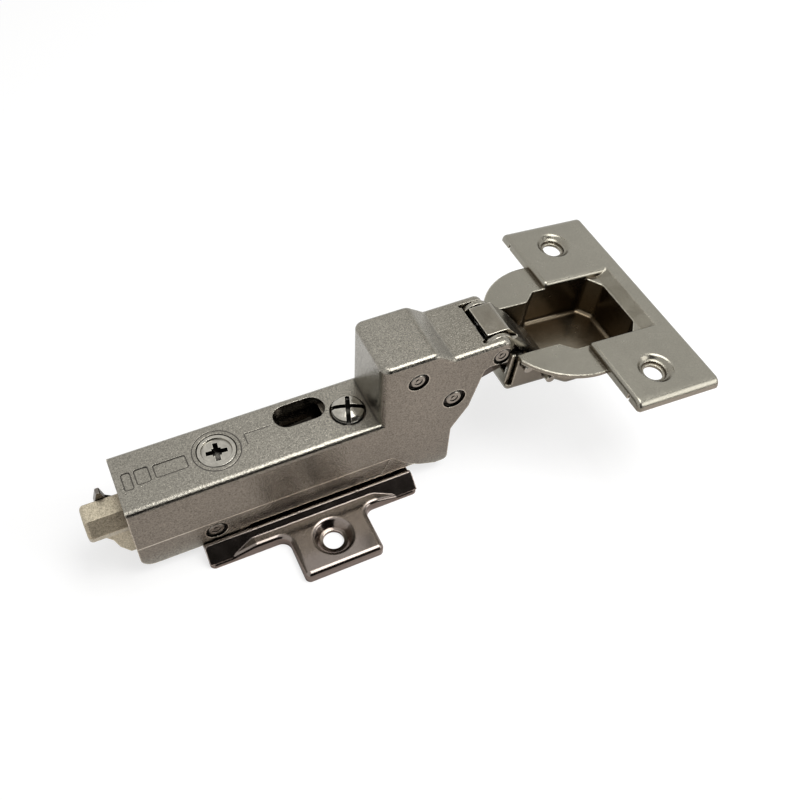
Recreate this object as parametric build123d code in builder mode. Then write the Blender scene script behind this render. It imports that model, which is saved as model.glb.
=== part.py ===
from build123d import *
import math
import os

# Concealed cup hinge for an inset door: a cast arm with a raised front, clipped
# on a steel wing plate, and a pressed steel cup that swings on two links.
#
# Frame, in millimetres: the origin lies midway between the two fixing holes of
# the wing plate, on the cabinet wall. +X runs along the arm to the door, +Z
# stands off the wall. The hinge is drawn fully open.

# ---------------------------------------------------------------- driving sizes
# cast arm
ARM_HALF = 7.75          # half the arm's width
ARM_INNER = 5.6          # half the width of the hollow inside
ARM_REAR = -39.3
DECK_Z = 23.4            # top of the long rear part
DECK_T = 2.0
CRANK_X = 14.6           # rear face of the raised front
CRANK_Z = 40.4
NOSE_Z = 37.4            # top of the step in front of the raised part
TIP_X = 44.5
SKIRT_Z = 10.6           # below this line the side walls are set in
SKIRT_IN = 0.45
TINE_INNER = 5.9         # half the gap between the two tines at the tip
FORK_X = 38.7            # where that gap begins

# pivots in the side view (x, z)
TIP_PIVOT = (42.2, 33.5)
LINK_PIVOT = (31.6, 24.7)
SPRING_PIVOT = (22.6, 34.3)
REAR_PIVOT = (-22.8, 6.9)
LEVER_PIVOT = (-26.5, 13.0)
PIN_R = 1.25
RUN = 0.05               # radial clearance of a turning fit
ARM_SEAT = 7.05          # where the pin heads sit in the arm's side walls
SKIRT_SEAT = 6.65        # the same for the rear pivot

# cup, in its own frame: u away from the arm, v along +Y, h out of the door
CUP_ORIGIN = (61.77, 0.0, 31.11)
CUP_TILT = 0.09          # radians past square when fully open
SHEET = 0.9
RIM_R = 17.3             # rim that drops into a 35 mm bore
RIM_STEP = 1.4           # the round rim lies this far below the wings
WING_U0, WING_U1 = 1.5, 23.1
WING_HALF = 29.1
WING_RIM = 2.2
POCKET_V = 9.5              # half width of the pocket
MOUTH_U, MOUTH_V = 19.2, 10.6   # lip round the pocket's mouth
MOUTH_H = 1.5               # fall of the sloping end of the mouth
MOUTH_SLOPE = 40.0
POCKET_H = 12.4
CUP_SCREW_U, CUP_SCREW_V = 11.0, 21.0
AXLE_R = 1.1
AXLE_LINK_IN = (-13.2, -3.6)    # (u, h) of the leg that carries the inner link
AXLE_LINK_OUT = (-6.0, -9.3)    # (u, h) of the leg that carries the outer link

# wing plate, rail and carrier
PLATE_SCREW_Y = 16.0
PLATE_TOP = 2.6
PLATE_BED = 2.0
PLATE_X0, PLATE_X1 = -26.3, 22.3
STRIP_HALF = 12.0
WING_X, WING_Y = 9.0, 23.2
LIP_TOP = 3.6
CHANNEL_HALF = 7.6
NIB_X = (-4.9, 8.9)       # small pressed nibs on the lips
RAIL_X0, RAIL_X1 = -24.0, 20.0
RAIL_HALF = 3.9
RAIL_RIVETS = (-12.0, 9.0)
CARRIER_HALF = 5.4
CARRIER_T = 1.2
CARRIER_TOP = 15.6
DEPTH_TRAVEL = 2.0       # each way

# adjusters in the arm's deck
CAM_X, CAM_Y = -18.5, 0.4
CAM_R = 4.15
CAM_THROW = 2.8
SCREW_X, SCREW_Y = 10.0, -0.7
SLOT_X, SLOT_Y = 0.4, 3.0

os.makedirs("parts", exist_ok=True)

CUP = Plane(
    origin=CUP_ORIGIN,
    x_dir=(math.cos(CUP_TILT), 0, -math.sin(CUP_TILT)),
    z_dir=(math.sin(CUP_TILT), 0, math.cos(CUP_TILT)),
)


def cup_xz(place):
    """Side-view place (x, z) of the cup point (u, h)."""
    u, h = place
    x = CUP_ORIGIN[0] + u * math.cos(CUP_TILT) + h * math.sin(CUP_TILT)
    z = CUP_ORIGIN[2] - u * math.sin(CUP_TILT) + h * math.cos(CUP_TILT)
    return x, z


def side(y=0.0):
    """Side-view plane at y: local x is +X, local y is +Z, facing -Y."""
    return Plane(origin=(0, y, 0), x_dir=(1, 0, 0), z_dir=(0, -1, 0))


def across_cup(v=0.0):
    """Side-view plane of the cup at v: local x is u, local y is h."""
    return Plane(origin=CUP.from_local_coords((0, v, 0)), x_dir=CUP.x_dir, z_dir=(0, -1, 0))


def in_cup(shape):
    """Centre of an edge or face in the cup's own frame."""
    return CUP.to_local_coords(shape.center())


def finish(part, name):
    """Name the piece and write it out."""
    part.label = name
    export_step(part, f"parts/{name}.step")


# ----------------------------------------------------------------- wing plate
with BuildPart() as base_plate:
    # strip, lowered at both ends by a ramp
    with BuildSketch(side(STRIP_HALF)):
        with BuildLine():
            Polyline(
                (PLATE_X0, 0), (PLATE_X0, 1.2), (-21.4, 1.2), (-16.4, PLATE_TOP), (12.2, PLATE_TOP),
                (17.6, 1.2),
                (PLATE_X1, 1.2), (PLATE_X1, 0), close=True,
            )
        make_face()
        fillet(vertices().filter_by(lambda v: v.Y > 1 and PLATE_X0 + 1 < v.X < PLATE_X1 - 1), 4.0)
    extrude(amount=2 * STRIP_HALF)
    # wings
    with BuildSketch(Plane.XY):
        Rectangle(2 * WING_X, 2 * WING_Y)
    extrude(amount=PLATE_TOP)
    upright = base_plate.edges().filter_by(Axis.Z)
    upright = upright.filter_by(lambda e: abs(e.center().Y) < 13)
    fillet(upright.filter_by(lambda e: abs(abs(e.center().X) - WING_X) < 0.01), 2.2)
    upright = base_plate.edges().filter_by(Axis.Z)
    fillet(upright.filter_by(lambda e: abs(e.center().Y) > 22 or abs(e.center().X) > 22), 1.2)
    # rounded down-turned rim
    rim = base_plate.edges().filter_by(lambda e: e.center().Z > 1.1 and abs(e.center().Y) > 11.5)
    fillet(rim, 1.15)
    # slopes rising to the lips beside the arm
    with BuildSketch(Plane.YZ.offset(PLATE_X0)):
        with BuildLine():
            Polyline((-11.6, 1.0), (-8.2, LIP_TOP), (8.2, LIP_TOP), (11.6, 1.0), close=True)
        make_face()
    extrude(amount=PLATE_X1 - PLATE_X0)
    with BuildSketch(Plane.XY.offset(PLATE_BED)):
        with Locations((-2, 0)):
            Rectangle(60, 2 * CHANNEL_HALF)
    extrude(amount=5, mode=Mode.SUBTRACT)
    ends = base_plate.edges().filter_by(Axis.Y)
    chamfer(ends.filter_by(lambda e: abs(e.center().Z - LIP_TOP) < 0.01), 0.4)
    # hollow underside of the pressed sheet
    with BuildSketch(Plane.YZ.offset(PLATE_X0 + 1.2)):
        with BuildLine():
            Polyline(
                (-10.8, -1), (-10.8, 0.4), (-8.6, 1.7), (-6.8, 0.9), (6.8, 0.9), (8.6, 1.7),
                (10.8, 0.4), (10.8, -1),
                close=True,
            )
        make_face()
    extrude(amount=PLATE_X1 - PLATE_X0 - 2.4, mode=Mode.SUBTRACT)
    with BuildSketch(Plane.XY):
        Rectangle(2 * WING_X - 2.4, 2 * WING_Y - 2.4)
        Rectangle(2 * WING_X, 20.0, mode=Mode.SUBTRACT)
    extrude(amount=1.4, mode=Mode.SUBTRACT)
    # dished screw holes
    for y in (-PLATE_SCREW_Y, PLATE_SCREW_Y):
        hole = Plane(origin=(0, y, 0), x_dir=(1, 0, 0), z_dir=(0, -1, 0))
        with BuildSketch(hole):
            with BuildLine():
                Polyline(
                    (2.3, 0), (2.3, 0.8), (3.0, 0.95), (4.3, PLATE_TOP), (6.0, PLATE_TOP), (6.0, 1.4),
                    (4.0, 0),
                    close=True,
                )
            make_face()
            fillet(vertices().filter_by(lambda v: abs(v.Y - PLATE_TOP) < 0.01 and v.X < 5), 1.1)
        revolve(axis=Axis((0, y, 0), (0, 0, 1)))
        with BuildSketch(hole):
            with BuildLine():
                Polyline(
                    (0, -1), (0, 4), (6.5, 4), (6.5, PLATE_TOP), (4.3, PLATE_TOP), (3.0, 0.95),
                    (2.3, 0.8), (2.3, -1),
                    close=True,
                )
            make_face()
            fillet(vertices().filter_by(lambda v: abs(v.Y - PLATE_TOP) < 0.01 and v.X < 5), 1.1)
        revolve(axis=Axis((0, y, 0), (0, 0, 1)), mode=Mode.SUBTRACT)
    # rivet holes of the rail
    with BuildSketch(Plane.XY):
        with Locations(*[(x, 0) for x in RAIL_RIVETS]):
            Circle(1.4)
    extrude(amount=5, mode=Mode.SUBTRACT)
    # nibs on the lips
    with Locations(*[(x, y, LIP_TOP - 0.1) for x in NIB_X for y in (-8.05, 8.05)]):
        Sphere(0.42)
finish(base_plate.part, "base_plate")

# rail riveted to the plate, with a window at each end for the carrier's hooks
with BuildPart() as plate_rail:
    with BuildSketch(side(RAIL_HALF)):
        with BuildLine():
            Polyline(
                (RAIL_X0, PLATE_BED), (RAIL_X0, 5.4), (RAIL_X0 + 1.2, 5.4), (RAIL_X0 + 2.4, 4.0),
                (RAIL_X1 - 2.4, 4.0),
                (RAIL_X1 - 1.2, 5.4), (RAIL_X1, 5.4), (RAIL_X1, PLATE_BED), close=True,
            )
        make_face()
    extrude(amount=2 * RAIL_HALF)
    ends = plate_rail.edges().filter_by(lambda e: abs(e.center().Z - 5.4) < 0.01 and abs(e.center().Y) < 1)
    fillet(ends.filter_by(lambda e: e.center().X < RAIL_X0 + 0.1 or e.center().X > RAIL_X1 - 0.1), 0.6)
    with BuildSketch(Plane.XY.offset(PLATE_BED + 1.0)):
        with Locations(((RAIL_X0 + RAIL_X1) / 2, 0)):
            Rectangle(RAIL_X1 - RAIL_X0 - 2.4, 2 * RAIL_HALF - 2.0)
    extrude(amount=5, mode=Mode.SUBTRACT)
    with BuildSketch(Plane.YZ.offset(RAIL_X0 - 1)):
        with Locations((0, 3.6)):
            Rectangle(5.4, 1.2)
    extrude(amount=50, mode=Mode.SUBTRACT)
    with BuildSketch(Plane.XY):
        with Locations(*[(x, 0) for x in RAIL_RIVETS]):
            Circle(1.4)
    extrude(amount=5, mode=Mode.SUBTRACT)
finish(plate_rail.part, "plate_rail")


def rail_rivet(name, x):
    """Domed rivet that holds the rail on the bed of the wing plate."""
    with BuildPart() as rivet:
        with BuildSketch(Plane(origin=(x, 0, 0), x_dir=(1, 0, 0), z_dir=(0, -1, 0))):
            with BuildLine():
                Polyline(
                    (0, 0.35), (2.2, 0.35), (2.2, 0.9), (1.4, 0.9), (1.4, 3.0), (2.3, 3.0), (2.3, 3.3),
                    (1.5, 3.75),
                    (0, 3.9), close=True,
                )
            make_face()
        revolve(axis=Axis((x, 0, 0), (0, 0, 1)))
    finish(rivet.part, name)


rail_rivet("rail_rivet_rear", RAIL_RIVETS[0])
rail_rivet("rail_rivet_front", RAIL_RIVETS[1])


# --------------------------------------------------- carrier and rear release
# folded channel inside the arm, hooked on the rail of the wing plate
with BuildPart() as carrier:
    with BuildSketch(side(CARRIER_HALF)):
        with BuildLine():
            Polyline(
                (-35.0, 9.0), (-35.0, CARRIER_TOP), (24.0, CARRIER_TOP), (24.0, 6.0), (21.9, PLATE_BED),
                (-25.6, PLATE_BED), (-30.0, 4.6), close=True,
            )
        make_face()
        fillet(vertices().filter_by(lambda v: v.Y < 15), 1.0)
    extrude(amount=2 * CARRIER_HALF)
    fillet(carrier.edges().filter_by(Axis.X).filter_by(lambda e: e.center().Z > 15), 1.1)
    with BuildSketch(Plane.XY.offset(-1)):
        Rectangle(120, 2 * (CARRIER_HALF - CARRIER_T))
    extrude(amount=CARRIER_TOP - CARRIER_T + 1, mode=Mode.SUBTRACT)
    # front plate and its hook through the rail's window
    with BuildSketch(side(CARRIER_HALF - CARRIER_T)):
        with BuildLine():
            Polyline(
                (21.4, CARRIER_TOP - CARRIER_T), (22.6, CARRIER_TOP - CARRIER_T), (22.6, 6.0),
                (21.8, 3.15), (20.3, 3.15),
                (20.3, 6.0), (21.4, 7.0), close=True,
            )
        make_face()
    extrude(amount=2 * (CARRIER_HALF - CARRIER_T))
    with BuildSketch(Plane.XY.offset(3.15)):
        with Locations((19.6, 0)):
            Rectangle(3.0, 4.8)
    extrude(amount=0.9)
    # open rear for the release lever
    with BuildSketch(Plane.XY.offset(14)):
        with Locations((-30, 0)):
            Rectangle(13.0, 2 * (CARRIER_HALF - CARRIER_T))
    extrude(amount=3, mode=Mode.SUBTRACT)
    # slots for the depth cam, the adjusting screw and the rear pivot pin
    with BuildSketch(Plane.XY.offset(14)):
        with Locations((CAM_X, CAM_Y - CAM_THROW + 0.42)):
            RectangleRounded(3.8, 4.2, 0.6)
        with Locations((SCREW_X, SCREW_Y)):
            SlotOverall(2 * DEPTH_TRAVEL + 3.3, 3.2)
        with Locations((SCREW_X - 6.4, SCREW_Y)):
            Circle(3.2)
    extrude(amount=3, mode=Mode.SUBTRACT)
    with BuildSketch(side(8)):
        with Locations(REAR_PIVOT):
            SlotOverall(2 * DEPTH_TRAVEL + 2 * PIN_R + 0.3, 2 * PIN_R + 0.1)
        with Locations(LEVER_PIVOT):
            Circle(1.0)
    extrude(amount=16, mode=Mode.SUBTRACT)
    # upright tab seen through the oblong hole
    with BuildSketch(side(4.3)):
        with BuildLine():
            Polyline((-3.4, 15), (-2.4, 18.0), (3.4, 18.9), (4.8, 17.6), (4.8, 15), close=True)
        make_face()
    extrude(amount=1.0)
finish(carrier.part, "carrier")

# release lever: cast, with a finger block behind the arm
with BuildPart() as release_lever:
    with BuildSketch(side(2.1)):
        with BuildLine():
            Polyline(
                (-44.0, 14.0), (-44.2, 10.4), (-43.0, 8.6), (-42.2, 5.4), (-40.4, 2.4), (-36.0, 2.0),
                (-28.6, 2.2),
                (-24.6, 3.3), (-22.4, 3.6), (-22.5, 4.05), (-24.5, 4.1), (-26.9, 4.9), (-27.6, 8.8),
                (-23.9, 12.0), (-24.4, 15.2),
                (-27.0, 15.9), (-34.0, 16.4), (-38.5, 18.0), (-44.0, 18.0), close=True,
            )
        make_face()
    extrude(amount=4.2)
    with BuildSketch(Plane.YZ.offset(-47.3)):
        with BuildLine():
            Polyline((2.1, 12.6), (2.1, 18.0), (-2.2, 18.0), (-4.2, 14.7), (-3.6, 12.6), close=True)
        make_face()
    extrude(amount=9.3)
    block = release_lever.edges().filter_by(lambda e: abs(e.center().X + 47.3) < 0.01)
    fillet(block.filter_by(lambda e: e.center().Y > 2.0 or e.center().Z > 17.9 or e.center().Y < -2.5), 0.9)
    with BuildSketch(side(8)):
        with Locations(LEVER_PIVOT):
            Circle(1.0 + RUN)
    extrude(amount=16, mode=Mode.SUBTRACT)
finish(release_lever.part, "release_lever")

# steel latch leaf between the lever and the carrier's wall
with BuildPart() as latch_leaf:
    with BuildSketch(side(3.6)):
        with BuildLine():
            Polyline(
                (-44.3, 12.5), (-44.1, 17.0), (-43.2, 20.0), (-42.4, 20.0), (-41.7, 17.0),
                (-40.0, 15.4), (-27.0, 15.4),
                (-24.2, 13.6), (-24.4, 11.6), (-27.6, 9.2), (-31.0, 9.6), (-41.0, 11.4), close=True,
            )
        make_face()
        fillet(vertices(), 0.35)
        with Locations(LEVER_PIVOT):
            Circle(1.0, mode=Mode.SUBTRACT)
    extrude(amount=1.4)
finish(latch_leaf.part, "latch_leaf")

with BuildPart() as lever_pin:
    with BuildSketch(side(CARRIER_HALF)):
        with Locations(LEVER_PIVOT):
            Circle(1.0)
    extrude(amount=2 * CARRIER_HALF)
finish(lever_pin.part, "lever_pin")

# torsion spring wound on the lever pin
LSPRING_R = 1.6
LSPRING_WIRE = 0.22
LSPRING_TURNS = 2.75
LSPRING_PITCH = 0.52
with BuildPart() as lever_spring:
    with BuildLine():
        wind = Helix(
            pitch=LSPRING_PITCH,
            height=LSPRING_PITCH * LSPRING_TURNS,
            radius=LSPRING_R,
            center=(LEVER_PIVOT[0], -2.42, LEVER_PIVOT[1]),
            direction=(0, -1, 0),
        )
    with BuildSketch(Plane(origin=wind @ 0, z_dir=wind % 0)):
        Circle(LSPRING_WIRE)
    sweep(path=wind)
    with BuildSketch(Plane(origin=wind @ 0, z_dir=(wind % 0) * -1)):
        Circle(LSPRING_WIRE)
    extrude(amount=1.2)
    with BuildSketch(Plane(origin=wind @ 1, z_dir=wind % 1)):
        Circle(LSPRING_WIRE)
    extrude(amount=3.0)
finish(lever_spring.part, "lever_spring")


# ------------------------------------------------------------------------ arm
with BuildPart() as arm_body:
    with BuildSketch(side(ARM_HALF)):
        with BuildLine():
            Polyline(
                (ARM_REAR, 2.95), (ARM_REAR, DECK_Z), (CRANK_X - 0.1, DECK_Z), (CRANK_X, CRANK_Z),
                (26.7, CRANK_Z),
                (30.8, NOSE_Z), (TIP_X, NOSE_Z), (TIP_X, 31.0), (38.4, 31.7), (35.5, 20.4), (31.7, 14.2),
                (31.7, 2.9), (28.6, 2.9), (24.4, 4.6), (-15.4, 4.6), (-18.6, 3.0), close=True,
            )
        make_face()
        fillet(vertices().filter_by(lambda v: 26 < v.X < 27 and v.Y > 39), 2.5)
        fillet(vertices().filter_by(lambda v: 30 < v.X < 31 and v.Y > 36), 1.2)
        fillet(vertices().filter_by(lambda v: -19 < v.X < -15 and v.Y < 6), 1.5)
        fillet(vertices().filter_by(lambda v: v.X < -39 and v.Y < 3), 3.0)
        fillet(vertices().filter_by(lambda v: v.X > 44 and v.Y > 36), 2.0)
        fillet(vertices().filter_by(lambda v: v.X > 44 and v.Y < 31), 2.5)
        fillet(vertices().filter_by(lambda v: 38 < v.X < 38.5), 1.8)
        fillet(vertices().filter_by(lambda v: 31 < v.X < 36 and 14 < v.Y < 21), 2.0)
        fillet(vertices().filter_by(lambda v: 31 < v.X < 32 and v.Y < 3), 1.3)
    extrude(amount=2 * ARM_HALF)
    # rounded edges of the raised front and the deck
    upright = arm_body.edges().filter_by(lambda e: abs(e.center().X - CRANK_X) < 0.2 and e.center().Z > 25)
    fillet(upright.filter_by(lambda e: abs(e.center().Y) > 7), 2.0)
    deck = arm_body.edges().filter_by(lambda e: abs(e.center().Z - DECK_Z) < 0.05 and e.center().X < 14)
    fillet(deck.filter_by(lambda e: abs(e.center().Y) > 5.2), 1.3)
    top = arm_body.edges().filter_by(lambda e: e.center().Z > 36.5 and e.center().X > 14)
    top = top.filter_by(lambda e: abs(e.center().Y) > 6.5 or e.center().X < 16)
    fillet(top.filter_by(lambda e: e.bounding_box().size.X > 0.5 or e.center().X < 14.7), 1.1)
    # hollow, open below, behind and in front
    with BuildSketch(side(ARM_INNER)):
        with BuildLine():
            Polyline(
                (-60, -5), (-60, DECK_Z - DECK_T), (CRANK_X + 2.1, DECK_Z - DECK_T),
                (CRANK_X + 2.1, CRANK_Z - 2),
                (26.0, CRANK_Z - 2), (29.9, NOSE_Z - 1.8), (60, NOSE_Z - 1.8), (60, -5), close=True,
            )
        make_face()
    extrude(amount=2 * ARM_INNER, mode=Mode.SUBTRACT)
    # gap between the tines
    with BuildSketch(Plane.XY.offset(26)):
        with Locations((FORK_X + 10, 0)):
            Rectangle(20, 2 * TINE_INNER)
    extrude(amount=20, mode=Mode.SUBTRACT)
    # side walls set in below the skirt line, with a shallow slanted panel
    for way in (-1, 1):
        with BuildSketch(side(way * ARM_HALF)):
            with BuildLine():
                Polyline(
                    (-45, -1), (-45, SKIRT_Z), (17.6, SKIRT_Z), (21.4, 6.6), (24.4, 4.6), (24.4, -1),
                    close=True,
                )
            make_face()
        extrude(amount=way * SKIRT_IN, mode=Mode.SUBTRACT)
        with BuildSketch(side(way * (ARM_HALF - SKIRT_IN))):
            with BuildLine():
                Polyline((13.1, 9.9), (17.4, 9.9), (15.1, 5.2), (11.1, 5.2), close=True)
            make_face()
        extrude(amount=way * 0.15, mode=Mode.SUBTRACT)
    # pin recesses and holes
    for way in (-1, 1):
        for place, radius, seat in (
            (TIP_PIVOT, 2.2, ARM_SEAT),
            (LINK_PIVOT, 2.65, ARM_SEAT),
            (SPRING_PIVOT, 2.35, ARM_SEAT),
            (REAR_PIVOT, 2.4, SKIRT_SEAT),
        ):
            with BuildSketch(side(way * seat)):
                with Locations(place):
                    Circle(radius)
            extrude(amount=-way * 3, mode=Mode.SUBTRACT)
    with BuildSketch(side(10)):
        with Locations(TIP_PIVOT, LINK_PIVOT, SPRING_PIVOT):
            Circle(PIN_R)
        with Locations(REAR_PIVOT):
            Circle(PIN_R + RUN)
    extrude(amount=20, mode=Mode.SUBTRACT)
    # deck: cam hole with a fine ring, oblong hole, adjusting screw hole
    with BuildSketch(Plane.XY.offset(10)):
        with Locations((CAM_X, CAM_Y)):
            Circle(CAM_R + RUN)
        with Locations((SLOT_X, SLOT_Y)):
            SlotOverall(11.4, 5.9)
        with Locations((SCREW_X, SCREW_Y)):
            Circle(3.9)
    extrude(amount=20, mode=Mode.SUBTRACT)
    with BuildSketch(Plane.XY.offset(DECK_Z - 0.12)):
        with Locations((CAM_X, CAM_Y)):
            Circle(5.1)
            Circle(4.95, mode=Mode.SUBTRACT)
    extrude(amount=1, mode=Mode.SUBTRACT)
    # web below the deck that carries the adjusting screw's thread
    with BuildSketch(Plane.XY.offset(DECK_Z - DECK_T - 1.4)):
        with Locations((SCREW_X, 0)):
            Rectangle(9.4, 2 * ARM_INNER)
        with Locations((SCREW_X, SCREW_Y)):
            Circle(2.95, mode=Mode.SUBTRACT)
    extrude(amount=1.4)
    # field marks and seam on the deck
    with BuildSketch(Plane.XY.offset(DECK_Z - 0.12)):
        for x0, x1, y0, y1 in (
            (-37.8, -35.9, -2.0, 2.3),
            (-35.2, -32.3, -1.5, 2.3),
            (-31.4, -24.7, -1.3, 2.0),
        ):
            with Locations(((x0 + x1) / 2, (y0 + y1) / 2)):
                RectangleRounded(x1 - x0, y1 - y0, 0.5)
        with Locations((-9.2, 2.1), (10.1, 2.1)):
            Rectangle(5.8, 0.14)
        with Locations((-12.1, 0.7)):
            Rectangle(0.14, 2.8)
    extrude(amount=1, mode=Mode.SUBTRACT)
    # two small relief notches beside the tongue
    with BuildSketch(Plane.XY.offset(30)):
        with Locations((FORK_X, -TINE_INNER + 0.4), (FORK_X, TINE_INNER - 0.4)):
            Circle(0.5)
    extrude(amount=12, mode=Mode.SUBTRACT)
finish(arm_body.part, "arm_body")


def rivet(name, place, seat, head_r, head_t, dish):
    """Pin through both side walls with a punched, chamfered head at each end."""
    with BuildPart() as pin:
        with BuildSketch(side(seat)):
            with Locations(place):
                Circle(PIN_R)
        extrude(amount=2 * seat)
        for way in (-1, 1):
            outside = Plane(origin=(place[0], way * seat, place[1]), x_dir=(1, 0, 0), z_dir=(0, way, 0))
            with BuildSketch(outside):
                Circle(head_r)
            extrude(amount=head_t)
            with BuildSketch(outside.offset(head_t)):
                Circle(dish)
                Circle(dish * 0.45, mode=Mode.SUBTRACT)
            extrude(amount=-0.16, mode=Mode.SUBTRACT)
        rims = pin.edges().filter_by(GeomType.CIRCLE).filter_by(lambda e: abs(e.radius - head_r) < 0.001)
        chamfer(rims.filter_by(lambda e: abs(e.center().Y) > seat + head_t - 0.01), 0.22)
    finish(pin.part, name)


rivet("tip_pin", TIP_PIVOT, ARM_SEAT, 1.75, 0.45, 0.95)
rivet("link_pin", LINK_PIVOT, ARM_SEAT, 1.85, 0.5, 1.0)
rivet("spring_pin", SPRING_PIVOT, ARM_SEAT, 1.7, 0.5, 0.95)
rivet("rear_pivot_pin", REAR_PIVOT, SKIRT_SEAT + 0.03, 1.8, 0.4, 1.0)

# depth cam: flush dished head turning in the deck, eccentric stub below
with BuildPart() as depth_cam:
    with BuildSketch(Plane.XY.offset(DECK_Z - DECK_T - 0.1)):
        with Locations((CAM_X, CAM_Y)):
            Circle(CAM_R)
    extrude(amount=DECK_T + 0.1)
    chamfer(depth_cam.faces().sort_by(Axis.Z)[-1].edges(), 0.25)
    with BuildSketch(Plane.XY.offset(DECK_Z - 0.45)):
        with Locations((CAM_X, CAM_Y)):
            Circle(3.1)
    extrude(amount=1, taper=-20, mode=Mode.SUBTRACT)
    with BuildSketch(Plane.XY.offset(DECK_Z - DECK_T - 1.1)):
        with Locations((CAM_X, CAM_Y)):
            Circle(5.0)
    extrude(amount=1.05)
    with BuildSketch(Plane.XY.offset(CARRIER_TOP - CARRIER_T - 0.4)):
        with Locations((CAM_X, CAM_Y - CAM_THROW)):
            Circle(1.4)
    extrude(until=Until.NEXT)
    # cross recess
    with BuildSketch(Plane.XY.offset(DECK_Z)):
        with Locations(Location((CAM_X, CAM_Y), -7)):
            Rectangle(4.5, 1.05)
            Rectangle(1.05, 4.5)
            Rectangle(1.6, 1.6, rotation=45)
            Rectangle(1.9, 1.9)
    extrude(amount=-2.0, mode=Mode.SUBTRACT)
finish(depth_cam.part, "depth_cam")

# overlay screw: cross-slotted pan head, shank, neck and foot under the carrier
SCREW_HEAD_R = 3.45
with BuildPart() as overlay_screw:
    with BuildSketch(Plane(origin=(SCREW_X, SCREW_Y, 0), x_dir=(1, 0, 0), z_dir=(0, -1, 0))):
        with BuildLine():
            Polyline(
                (0, 13.1), (2.9, 13.1), (2.9, 14.3), (1.45, 14.3), (1.45, CARRIER_TOP + 0.1),
                (2.3, CARRIER_TOP + 0.1),
                (2.3, 22.45), (SCREW_HEAD_R, 22.6), (SCREW_HEAD_R, 23.4), (SCREW_HEAD_R - 0.18, 23.5),
                (SCREW_HEAD_R - 0.18, 23.65), (SCREW_HEAD_R, 23.75), (SCREW_HEAD_R, 24.2),
                (2.9, 24.65), (1.5, 24.9),
                (0, 24.98), close=True,
            )
        make_face()
    revolve(axis=Axis((SCREW_X, SCREW_Y, 0), (0, 0, 1)))
    with BuildSketch(Plane.XY.offset(26)):
        with Locations(Location((SCREW_X, SCREW_Y), -20)):
            Rectangle(8, 1.0)
            Rectangle(1.0, 8)
    extrude(amount=-2.9, mode=Mode.SUBTRACT)
finish(overlay_screw.part, "overlay_screw")

# closing spring: close-wound on the spring pin, legs on the roof and the link
SPRING_WIRE = 0.5
SPRING_COIL_R = 1.95
SPRING_TURNS = 5.4
SPRING_PITCH = 1.12
with BuildPart() as closing_spring:
    with BuildLine():
        coil = Helix(
            pitch=SPRING_PITCH,
            height=SPRING_PITCH * SPRING_TURNS,
            radius=SPRING_COIL_R,
            center=(SPRING_PIVOT[0], SPRING_PITCH * SPRING_TURNS / 2, SPRING_PIVOT[1]),
            direction=(0, -1, 0),
            lefthand=True,
        )
    with BuildSketch(Plane(origin=coil @ 0, z_dir=coil % 0)):
        Circle(SPRING_WIRE)
    sweep(path=coil)
    with BuildSketch(Plane(origin=coil @ 0, z_dir=(coil % 0) * -1)):
        Circle(SPRING_WIRE)
    extrude(amount=8.0)
    with BuildSketch(Plane(origin=coil @ 1, z_dir=coil % 1)):
        Circle(SPRING_WIRE)
    extrude(amount=3.2)
finish(closing_spring.part, "closing_spring")


# ---------------------------------------------------------------------- links
INNER_EYE = cup_xz(AXLE_LINK_IN)
OUTER_EYE = cup_xz(AXLE_LINK_OUT)
OUTER_LEN = math.dist(TIP_PIVOT, OUTER_EYE)
INNER_LEN = math.dist(INNER_EYE, LINK_PIVOT)
OUTER_DIR = ((OUTER_EYE[0] - TIP_PIVOT[0]) / OUTER_LEN, 0, (OUTER_EYE[1] - TIP_PIVOT[1]) / OUTER_LEN)
INNER_DIR = ((LINK_PIVOT[0] - INNER_EYE[0]) / INNER_LEN, 0, (LINK_PIVOT[1] - INNER_EYE[1]) / INNER_LEN)
OUTER_HALF = 5.7         # half width over the outer link's ears
OUTER_GAP = 4.7
INNER_HALF = 4.3
INNER_GAP = 3.1
TONGUE_HALF = 4.2


def on_outer(y):
    """Plane of the outer link at y: x from tip pivot to cup, y upward."""
    return Plane(origin=(TIP_PIVOT[0], y, TIP_PIVOT[1]), x_dir=OUTER_DIR, z_dir=(0, -1, 0))


def on_inner(y):
    """Plane of the inner link at y: x from cup to arm pivot, y upward."""
    return Plane(origin=(INNER_EYE[0], y, INNER_EYE[1]), x_dir=INNER_DIR, z_dir=(0, 1, 0))


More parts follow.
